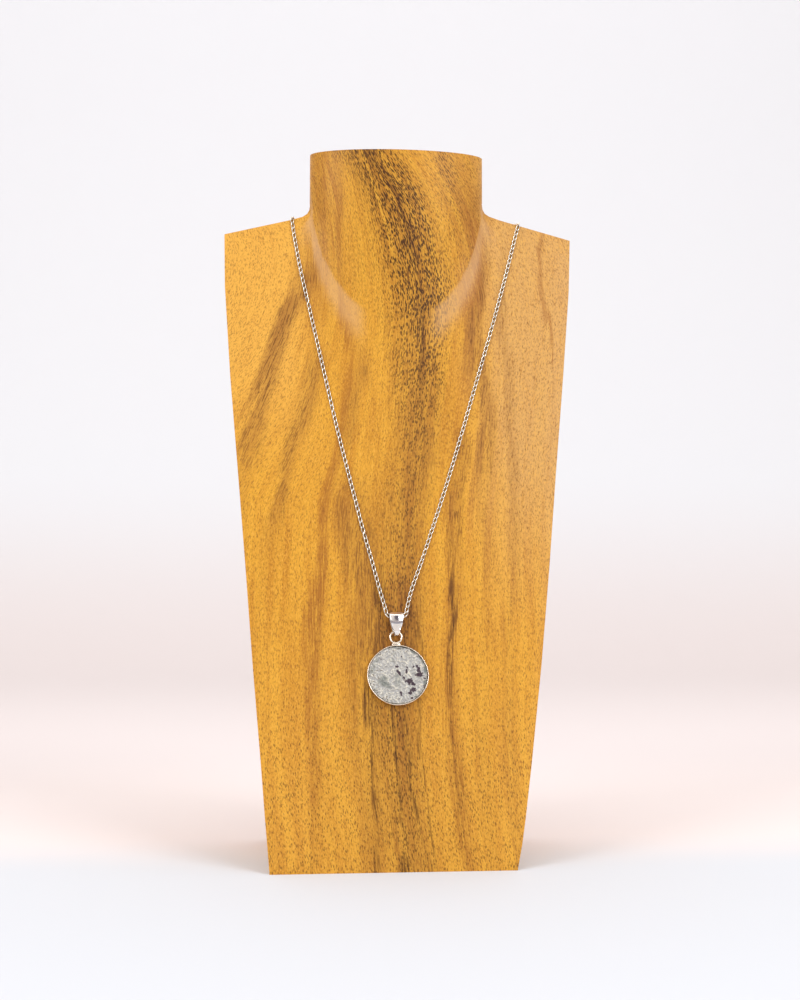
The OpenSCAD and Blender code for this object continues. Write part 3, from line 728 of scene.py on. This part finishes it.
def curvePoints(points, steps=24):
    # a smooth curve through the points, finely divided
    fine = []
    for i in range(len(points) - 1):
        p0, p1 = points[max(i - 1, 0)], points[i]
        p2, p3 = points[i + 1], points[min(i + 2, len(points) - 1)]
        for k in range(steps):
            t = k / steps
            fine.append(0.5 * (2 * p1 + (p2 - p0) * t + (2 * p0 - 5 * p1 + 4 * p2 - p3) * t * t
                               + (3 * p1 - p0 - 3 * p2 + p3) * t ** 3))
    return fine + [points[-1]]


route = [routePoint(row) for row in chainShape["route"]]
path = curvePoints([p for p, n in route])
normals = curvePoints([n for p, n in route])
walked = [0.0]
for p, q in zip(path, path[1:]):
    walked.append(walked[-1] + (q - p).length)
linkCount = round(walked[-1] / chainShape["pitch"])
pitch = walked[-1] / linkCount

deselectAll()
bpy.ops.mesh.primitive_torus_add(major_segments=chainShape["faces"][0], minor_segments=chainShape["faces"][1],
                                 major_radius=(chainShape["innerWidth"] + chainShape["wire"]) / 2 * mm,
                                 minor_radius=chainShape["wire"] / 2 * mm)
oneLink = newPiece("curbLink")
# the inside of the wire is darkened: tarnish where nothing rubs, and painted shade that darkens the holes of
# the links
inside = oneLink.data.attributes.new("insideTarnishAndShade", "FLOAT", "POINT")
for i, v in enumerate(oneLink.data.vertices):
    inward = (chainShape["innerWidth"] + chainShape["wire"]) / 2 * mm - math.hypot(v.co.x, v.co.y)
    inside.data[i].value = min(1.0, max(0.0, inward / (0.3 * chainShape["wire"] * mm)) ** 1.5)
stretch = (chainShape["pitch"] - chainShape["innerWidth"]) / 2 * mm
for side in (-1, 1):
    selectVerts(oneLink, lambda p: p.x * side > 0.00001)
    bpy.ops.transform.translate(value=(side * stretch, 0, 0))
bpy.ops.object.mode_set(mode="OBJECT")
addModifier(oneLink, "SIMPLE_DEFORM", deform_method="TWIST", deform_axis="X",
            angle=math.radians(chainShape["twist"]))
smoothPiece(oneLink, 180)
giveMaterial(oneLink, chainSilver)

chance = random.Random(7)
links = []
step = 0
for i in range(linkCount):
    at = (i + 0.5) * pitch
    while walked[step + 1] < at:
        step += 1
    share = (at - walked[step]) / (walked[step + 1] - walked[step])
    ahead = path[min(step + 8, len(path) - 1)] - path[max(step - 7, 0)]
    along = ahead.normalized()
    off = normals[step].lerp(normals[step + 1], share)
    off = (off - along * off.dot(along)).normalized()
    turned = chainShape["turnedLinks"].get(i, 0)
    roll = math.radians(4 * math.sin(i * 0.37) + chance.uniform(-4, 4) + turned)
    off.rotate(Matrix.Rotation(roll, 3, along))
    facing = Matrix((along, off.cross(along), off)).transposed().to_4x4()
    copy = oneLink.copy()
    copy.data = oneLink.data.copy()
    copy.matrix_world = Matrix.Translation(path[step].lerp(path[step + 1], share) * mm) @ facing
    scene.collection.objects.link(copy)
    links.append(copy)
bpy.data.objects.remove(oneLink)
chain = joinPieces(*links)
chain.name = chain.data.name = "curbChain"
applyPlace(chain)
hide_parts("chain")
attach(chain, "stand")
print("chain finished", linkCount, "links,", round(walked[-1], 1), "mm")


# What hangs on the chain is made upright, with the wood behind y = 0 and the chain in the bail at z = 0, in mm,
# and is then laid against the chest.

layDown = (-math.atan(lean / math.hypot(1, sideTurn)), 0, math.atan(sideTurn))


def layOnChest(obj):
    obj.scale = (mm, mm, mm)
    obj.rotation_euler = layDown
    obj.location = pendantPlace * mm
    applyPlace(obj)


bailShape = {
    # strap from its tip behind the ring over the chain to its tip in front: (out of the wood, height, width)
    "strap": [(1.52, -8.02, 1.8), (0.95, -7.55, 2.3), (0.5, -6.9, 2.7), (0.4, -6.3, 2.95), (0.38, -4.6, 3.9),
              (0.36, -2.6, 4.8), (0.35, -0.9, 5.4), (0.35, 0, 5.6), (0.47, 0.61, 5.6), (0.82, 1.13, 5.6),
              (1.34, 1.5, 5.5), (1.85, 1.6, 5.4), (2.2, 1.4, 5.35), (2.55, 1.1, 5.4), (2.9, 0.78, 5.45),
              (3.22, 0.46, 5.5), (3.38, 0.1, 5.55), (3.46, -0.5, 5.5), (3.53, -1.2, 5.35), (3.57, -1.9, 5.2),
              (3.57, -2.6, 5.0), (3.5, -3.2, 4.85), (3.38, -3.62, 4.72), (3.36, -3.85, 4.55),
              (3.32, -4.6, 4.05), (3.27, -5.4, 3.4), (3.19, -6.3, 2.65), (3.08, -7.0, 2.0), (2.62, -7.6, 1.7),
              (1.95, -8.05, 1.6)],
    "thickness": 0.5, "columns": 10,
    # the barrel's crown: (half of the width that comes out, how far), one after the other
    "crown": [(2.45, 0.12), (1.9, 0.1), (1.35, 0.08), (0.8, 0.05), (0.3, 0.02)],
    # the leaf's sides slope back in steps, from these shares of its half width, which grows with the height
    "slopeFrom": (0.5, 0.7, 0.9), "slopeStep": 0.1, "slopeHeights": (-5.8, -3.95),
    "leafHalf": 1.475, "leafGrowth": 0.8 / 2.3, "ringAt": -6.3,
    # darkening: a curve just above the crease, which is tarnish with painted crease shade, and a softer cloud
    # in the middle of the barrel, which is a painted dark reflection
    "crease": -3.35, "curveWidth": 0.75, "curveDark": 0.85, "cloudAt": -2.5, "cloudHalf": 2.3, "cloudDark": 0.6,
}

deselectAll()
bpy.ops.mesh.primitive_grid_add(x_subdivisions=bailShape["columns"], y_subdivisions=1, size=2)
bail = newPiece("foldedBail")
selectVerts(bail, lambda p: p.y > 0)
bpy.ops.mesh.delete(type="VERT")
bpy.ops.mesh.select_all(action="SELECT")
bpy.ops.transform.translate(value=(0, 1, 0))
out, high, width = bailShape["strap"][0]
bpy.ops.transform.resize(value=(width / 2, 1, 1), center_override=(0, 0, 0))
bpy.ops.transform.translate(value=(0, -out, high))
for nextOut, nextHigh, nextWidth in bailShape["strap"][1:]:
    bpy.ops.mesh.extrude_edges_move(TRANSFORM_OT_translate={"value": (0, out - nextOut, nextHigh - high)})
    bpy.ops.transform.resize(value=(nextWidth / width, 1, 1), center_override=(0, 0, 0))
    out, high, width = nextOut, nextHigh, nextWidth
# the front of the barrel is crowned across
for reach, push in bailShape["crown"]:
    selectVerts(bail, lambda p: p.y < -3.1 and -3.6 < p.z < 0.3 and abs(p.x) < reach)
    bpy.ops.transform.translate(value=(0, -push, 0))


def leafHalfAt(height):
    return bailShape["leafHalf"] + bailShape["leafGrowth"] * (height - bailShape["ringAt"])


# the lower leaf has a raised flat strip down its middle
lowest, highest = bailShape["slopeHeights"]
for share in bailShape["slopeFrom"]:
    for side in (-1, 1):
        selectVerts(bail, lambda p: p.y < -2.4 and lowest < p.z < highest
                    and p.x * side > share * leafHalfAt(p.z) - 0.12)
        bpy.ops.transform.translate(value=(0, bailShape["slopeStep"], 0))
bpy.ops.object.mode_set(mode="OBJECT")
recalculateNormals(bail, 0.0005)
addModifier(bail, "SOLIDIFY", thickness=bailShape["thickness"], offset=0, use_even_offset=True)
addModifier(bail, "BEVEL", width=0.1, segments=2, limit_method="ANGLE", angle_limit=math.radians(50))
addModifier(bail, "SUBSURF", levels=1, render_levels=1)
# tarnish and painted crease shade along the curve, a painted dark reflection in the cloud
tarnish = bail.data.attributes.new("creaseTarnishPaintedShadeAndReflection", "FLOAT", "POINT")
for i, v in enumerate(bail.data.vertices):
    above = v.co.z - bailShape["crease"] - 0.1 * v.co.x * v.co.x
    curve = bailShape["curveDark"] * max(0.0, 1 - abs(above) / bailShape["curveWidth"])
    across = max(0.0, 1 - (v.co.x / bailShape["cloudHalf"]) ** 2)
    upward = max(0.0, 1 - abs(v.co.z - bailShape["cloudAt"]) / bailShape["cloudHalf"])
    onBarrel = v.co.y < -2.9 and v.co.z > -3.8
    tarnish.data[i].value = max(curve, bailShape["cloudDark"] * across * upward) if onBarrel else 0.0
layOnChest(bail)
smoothPiece(bail, 50)
giveMaterial(bail, darkenedWhereMarked(sheetSilver, "creasedSheetSilver", "creaseTarnishPaintedShadeAndReflection", "5F5566"))
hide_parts("bail")
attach(bail, "bail")
print("bail finished", len(bail.data.polygons))


# Ring, solder bar and bezel, soldered together
settingShape = {
    "ringHalf": 2.425, "ringWire": 0.8, "ringOut": 1.775, "ringHeight": -8.95, "ringAside": -0.4,
    "bar": (3.3, 0.95, 0.8), "barHeight": -11.95,
    "bezelHeight": -24.9, "bezelHalf": (12.85, 12.65),
    # section of the bezel from its outer back edge: (in from the outside, out of the wood)
    "section": [(0.12, 0.1), (0, 0.22), (0, 1.2), (0.04, 2.0), (0.1, 2.38), (0.18, 2.54), (0.28, 2.58),
                (0.4, 2.54), (0.48, 2.42), (0.5, 2.28), (0.5, 2.1), (0.58, 1.4), (0.6, 0.62), (0.9, 0.6),
                (1.55, 0.58), (1.6, 0.5), (1.6, 0.18), (1.52, 0.1)],
    # where the wall was pushed while the coin was set: (x, z from the middle, push across, push up, reach)
    "dents": [(-8.6, 9.3, 0.16, -0.17, 8.0), (-12.4, 2.5, 0.1, 0, 6.0), (11.2, 6.0, -0.08, -0.04, 7.0),
              (-9.6, -8.2, 0.1, 0.1, 8.0), (6.0, -11.0, -0.03, 0.08, 7.0), (12.6, -3.0, 0.05, 0.0, 6.0)],
}


def pushPlaces(obj, dents, centreHeight):
    # dents: vertices near a place go with it, less with distance
    for x, z, across, up, reach in dents:
        for v in obj.data.vertices:
            away = math.hypot(v.co.x - x, v.co.z - centreHeight - z) / reach
            if away < 1:
                share = (1 - away * away) ** 2
                v.co.x += across * share
                v.co.z += up * share


ringAside, ringOut = settingShape["ringAside"], settingShape["ringOut"]
deselectAll()
bpy.ops.mesh.primitive_torus_add(major_segments=64, minor_segments=20, major_radius=settingShape["ringHalf"],
                                 minor_radius=settingShape["ringWire"] / 2, rotation=(math.pi / 2, 0, 0),
                                 location=(ringAside, -ringOut, settingShape["ringHeight"]))
ring = newPiece("wireRing")
applyPlace(ring)

deselectAll()
bpy.ops.mesh.primitive_cube_add(size=1, location=(ringAside, -ringOut, settingShape["barHeight"]))
bar = newPiece("solderBar")
bar.scale = settingShape["bar"]
applyPlace(bar)
# solder has run out towards both ends of the bar
selectVerts(bar, lambda p: p.z < settingShape["barHeight"])
bpy.ops.transform.resize(value=(1.12, 1.2, 1))
bpy.ops.object.mode_set(mode="OBJECT")
addModifier(bar, "BEVEL", width=0.22, segments=3, limit_method="ANGLE", angle_limit=math.radians(40))

deselectAll()
bpy.ops.mesh.primitive_circle_add(vertices=128, radius=1, fill_type="NOTHING", rotation=(math.pi / 2, 0, 0))
bezel = newPiece("bezel")
applyPlace(bezel)
halfWide, halfHigh = settingShape["bezelHalf"]
section = settingShape["section"]
bpy.ops.object.mode_set(mode="EDIT")
bpy.ops.mesh.select_all(action="SELECT")
inward, out = section[0]
bpy.ops.transform.resize(value=(halfWide - inward, 1, halfHigh - inward), center_override=(0, 0, 0))
bpy.ops.transform.translate(value=(0, -out, 0))
for nextIn, nextOut in section[1:] + section[:1]:
    bpy.ops.mesh.extrude_edges_move(TRANSFORM_OT_translate={"value": (0, out - nextOut, 0)})
    shrink = ((halfWide - nextIn) / (halfWide - inward), 1, (halfHigh - nextIn) / (halfHigh - inward))
    bpy.ops.transform.resize(value=shrink, center_override=(0, 0, 0))
    inward, out = nextIn, nextOut
bpy.ops.mesh.select_all(action="SELECT")
bpy.ops.transform.translate(value=(0, 0, settingShape["bezelHeight"]))
bpy.ops.object.mode_set(mode="OBJECT")
recalculateNormals(bezel, 0.001)
pushPlaces(bezel, settingShape["dents"], settingShape["bezelHeight"])
setting = joinPieces(ring, bar, bezel)
setting.name = setting.data.name = "bezelSetting"
layOnChest(setting)
smoothPiece(setting, 60)
giveMaterial(setting, bezelSilver)
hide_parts("setting")
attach(setting, "pendant")
print("setting finished", len(setting.data.polygons))


# A worn struck blank with what is left of its relief
coinShape = {
    "half": (12.1, 11.9), "back": 0.72, "thickness": 1.45, "height": -24.9, "voxel": 0.13,
    # low ridges as (from, to, width, rise), in shares of the coin's radius and mm
    "ridges": [((-0.42, 0.40), (-0.16, 0.56), 1.0, 0.1), ((0.06, 0.50), (0.34, 0.36), 0.9, 0.1),
               ((-0.02, 0.22), (0.02, -0.18), 1.6, 0.12), ((0.30, 0.12), (0.50, -0.12), 1.0, 0.1),
               ((-0.50, 0.06), (-0.34, -0.22), 1.1, 0.1), ((-0.26, -0.34), (-0.06, -0.60), 0.9, 0.1),
               ((0.14, -0.40), (0.40, -0.46), 1.0, 0.1)],
    "pits": [(-0.40, 0.26, 0.9), (0.54, 0.02, 1.1), (0.30, -0.26, 1.3), (0.42, -0.52, 1.0), (0.62, -0.24, 1.2),
             (-0.20, -0.14, 0.8)],
    "pitDepth": 0.24, "beads": 30, "beadAt": 0.88, "beadWidth": 1.0, "beadHeight": 0.26,
    # crust, in mm from the coin's middle: (x, z, half width, half height, turn in degrees, strength)
    "plumCrust": [
        (1.8, 7.8, 0.3, 0.3, 0, 0.8), (-0.3, 3.5, 0.6, 0.35, 0, 0.9), (0.4, 1.0, 1.1, 0.4, -52, 1),
        (3.8, 3.2, 0.4, 0.35, 0, 0.8), (3.6, 1.7, 0.35, 0.7, 0, 1), (6.5, 3.5, 0.3, 0.3, 0, 0.9),
        (8.0, 3.7, 0.5, 0.4, 0, 1), (8.6, 2.1, 0.6, 0.9, 0, 1), (9.2, 0.3, 0.9, 0.7, 0, 1),
        (7.6, 0.0, 0.7, 0.35, 0, 0.9), (4.9, -2.6, 1.0, 0.9, 0, 1), (6.0, -3.5, 1.1, 0.45, -38, 1),
        (6.3, -6.2, 0.8, 0.6, 30, 1), (5.4, -6.6, 0.6, 0.6, 0, 0.9), (4.9, -7.5, 0.6, 0.5, 0, 1),
        (1.1, -7.7, 0.9, 0.32, -70, 0.9), (5.6, -9.6, 0.4, 0.4, 0, 0.9), (2.5, -1.5, 1.3, 0.4, -69, 0.75),
        (11.0, -1.3, 0.5, 0.5, 0, 0.7), (10.8, -4.6, 0.4, 0.6, 0, 0.7),
    ],
    "greenCrust": [
        (-5.8, -1.3, 1.0, 0.7, 0, 0.8), (-7.0, -2.5, 0.9, 0.6, 20, 0.75), (-5.5, -3.5, 1.2, 0.7, -20, 0.9),
        (-4.0, -4.7, 0.8, 0.5, -40, 0.7), (-10.6, 2.1, 0.6, 0.8, 0, 0.6), (11.4, 3.1, 0.4, 0.7, 0, 1),
        (11.4, 1.7, 0.4, 0.6, 0, 1), (11.2, -3.2, 0.5, 0.8, 0, 0.9), (6.5, 9.5, 0.7, 0.3, -35, 0.9),
        (9.4, 7.4, 0.4, 0.6, 30, 0.9), (10.4, 5.5, 0.4, 0.6, 20, 0.9), (-0.1, -1.7, 0.9, 1.9, 0, 0.45),
        (-8.6, 6.2, 0.7, 0.4, 50, 0.6), (-9.8, 4.0, 0.5, 0.6, 0, 0.5), (-9.4, -6.0, 0.6, 0.4, -50, 0.5),
        (0.4, 11.2, 1.4, 0.3, 0, 0.6), (8.9, -7.2, 0.4, 0.4, 0, 0.7), (7.4, -9.0, 0.5, 0.3, 0, 0.7),
        (-1.5, 9.0, 0.5, 0.4, 0, 0.4), (-2.3, 6.4, 0.5, 0.8, 30, 0.35),
    ],
    "spotGrowth": 1.2,
}


def onCoin(share, out):
    return (share[0] * coinShape["half"][0], -out, coinShape["height"] + share[1] * coinShape["half"][1])


face = coinShape["back"] + coinShape["thickness"]
deselectAll()
bpy.ops.mesh.primitive_cylinder_add(vertices=128, radius=1, depth=coinShape["thickness"],
                                    rotation=(math.pi / 2, 0, 0),
                                    location=(0, coinShape["thickness"] / 2 - face, coinShape["height"]))
coin = newPiece("wornCoin")
coin.scale = (coinShape["half"][0], coinShape["half"][1], 1)
applyPlace(coin)
reliefParts = []
for i in range(coinShape["beads"]):
    if i % 7 == 3:
        continue  # worn away
    a = math.radians(i * 360 / coinShape["beads"])
    spot = (coinShape["beadAt"] * math.cos(a), coinShape["beadAt"] * math.sin(a))
    bpy.ops.mesh.primitive_uv_sphere_add(segments=12, ring_count=8, radius=coinShape["beadWidth"] / 2,
                                         location=onCoin(spot, face))
    bead = bpy.context.object
    bead.scale = (1, coinShape["beadHeight"], 1)
    reliefParts.append(bead)
for start, end, width, rise in coinShape["ridges"]:
    p, q = Vector(onCoin(start, face)), Vector(onCoin(end, face))
    for k in range(7):
        share = k / 6
        bend = math.sin(share * math.pi) * 0.5
        fat = width / 2 * (0.75 + 0.25 * math.sin(share * 3.1))
        bpy.ops.mesh.primitive_uv_sphere_add(segments=14, ring_count=8, radius=fat,
                                             location=p.lerp(q, share) + Vector((bend, 0, bend * 0.6)))
        lump = bpy.context.object
        lump.scale = (1, 2 * rise / width, 1)
        reliefParts.append(lump)
coin = joinPieces(coin, *reliefParts)
applyPlace(coin)
deselectAll()
addModifier(coin, "REMESH", mode="VOXEL", voxel_size=coinShape["voxel"])
for x, z, width in coinShape["pits"]:
    # each pit takes a hollow out of the front
    middle = Vector(onCoin((x, z), 0))
    for v in coin.data.vertices:
        away = math.hypot(v.co.x - middle.x, v.co.z - middle.z) / (width * 0.75)
        if away < 1 and v.co.y < -face + 0.3:
            v.co.y += coinShape["pitDepth"] * (1 - away * away)
addModifier(coin, "SMOOTH", factor=0.5, iterations=3)
# what is left of the struck relief are thin curly ridges
curls = bpy.data.textures.new("wornCurls", "MUSGRAVE")
curls.musgrave_type = "RIDGED_MULTIFRACTAL"
curls.noise_scale = 1.3
curls.octaves = 2
curls.dimension_max = 1.0
curls.lacunarity = 2.2
addModifier(coin, "DISPLACE", texture=curls, strength=0.17, mid_level=0.6)
gritty = bpy.data.textures.new("coinGrit", "CLOUDS")
gritty.noise_scale = 0.45
gritty.noise_depth = 2
addModifier(coin, "DISPLACE", texture=gritty, strength=0.14, mid_level=0.5)


def paintSpots(obj, name, spots):
    # crust on the front: full in a spot's middle, none at twice its size
    layer = obj.data.attributes.new(name, "FLOAT", "POINT")
    for i, v in enumerate(obj.data.vertices):
        best = 0.0
        if v.co.y < -face + 0.5:
            for x, z, wide, tall, turned, strength in spots:
                dx, dz = v.co.x - x, v.co.z - coinShape["height"] - z
                if abs(dx) > 3 or abs(dz) > 3:
                    continue
                c, s = math.cos(math.radians(turned)), math.sin(math.radians(turned))
                away = math.hypot((dx * c + dz * s) / wide, (dz * c - dx * s) / tall) / coinShape["spotGrowth"]
                best = max(best, strength * min(1.0, max(0.0, (2.0 - away) / 1.3)))
        layer.data[i].value = best


for name in ("plumCrust", "greenCrust"):
    paintSpots(coin, name, coinShape[name])
rubbed = coin.data.attributes.new("rubbed", "FLOAT", "POINT")
border = coin.data.attributes.new("nearBorder", "FLOAT", "POINT")
for i, v in enumerate(coin.data.vertices):
    rubbed.data[i].value = min(1.0, max(0.0, (-v.co.y - face - 0.02) / 0.12))
    reach = math.hypot(v.co.x / coinShape["half"][0], (v.co.z - coinShape["height"]) / coinShape["half"][1])
    border.data[i].value = min(1.0, max(0.0, (reach - 0.55) / 0.4))
layOnChest(coin)
smoothPiece(coin, 180)
giveMaterial(coin, corrodedSilver())
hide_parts("coin")
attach(coin, "pendant")
print("coin finished", len(coin.data.polygons))


# A spring ring: a tube with a thin bolt across its mouth, a thumb lever, an eye for the chain, and the eyelet
# of the chain's other end. Tube, eyelet and eye: the middle's x, radius and half the wire
claspShape = {
    "height": 271.6, "out": 44.75,
    "tube": (3.6, 2.85, 0.65), "eyelet": (0.45, 1.3, 0.3), "eye": (6.95, 0.7, 0.25),
    "eyeletTilt": 27, "eyeTilt": 50, "mouth": (100, 150), "bolt": 0.62,
    "lever": (1.15, 0.62, 0.8), "leverAngle": 78, "leverOut": 0.75,
}


def claspRing(name, at, radius, half, tilt=0):
    deselectAll()
    bpy.ops.mesh.primitive_torus_add(major_segments=72, minor_segments=18, location=(at, 0, 0),
                                     major_radius=radius, minor_radius=half,
                                     rotation=(math.radians(90 + tilt), 0, 0))
    made = newPiece(name)
    applyPlace(made)
    return made


clasp = claspRing("springRingClasp", *claspShape["tube"])
middle, radius, half = claspShape["tube"]
first, last = claspShape["mouth"]
for v in clasp.data.vertices:
    # the bolt is thinner than the tube that it slides in, and the tube's two ends are rolled in
    angle = math.degrees(math.atan2(v.co.z, v.co.x - middle)) % 360
    a = math.radians(angle)
    centre = Vector((middle + radius * math.cos(a), 0, radius * math.sin(a)))
    if first < angle < last:
        v.co = centre.lerp(v.co, claspShape["bolt"])
    elif first - 5.1 < angle < last + 5.1:
        v.co = centre.lerp(v.co, 0.92)
eyelet = claspRing("eyelet", *claspShape["eyelet"], claspShape["eyeletTilt"])
eye = claspRing("eye", *claspShape["eye"], claspShape["eyeTilt"])

deselectAll()
bpy.ops.mesh.primitive_cube_add(size=1)
lever = newPiece("thumbLever")
lever.scale = claspShape["lever"]
applyPlace(lever)
selectVerts(lever, lambda p: p.x > 0)
bpy.ops.transform.resize(value=(1, 1.15, 1.35))  # its pad is wider than its neck
bpy.ops.object.mode_set(mode="OBJECT")
addModifier(lever, "BEVEL", width=0.16, segments=3, limit_method="ANGLE", angle_limit=math.radians(40))
lever.rotation_euler = (0, -math.radians(claspShape["leverAngle"]), 0)
a = math.radians(claspShape["leverAngle"])
reach = radius + claspShape["leverOut"]
lever.location = (middle + reach * math.cos(a), 0, reach * math.sin(a))
applyPlace(lever)

clasp = joinPieces(clasp, eyelet, eye, lever)
clasp.scale = (mm, mm, mm)
clasp.location = (0, claspShape["out"] * mm, claspShape["height"] * mm)
applyPlace(clasp)
smoothPiece(clasp, 45)
giveMaterial(clasp, sheetSilver)
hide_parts("clasp")
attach(clasp, "stand")
print("clasp finished", len(clasp.data.polygons))
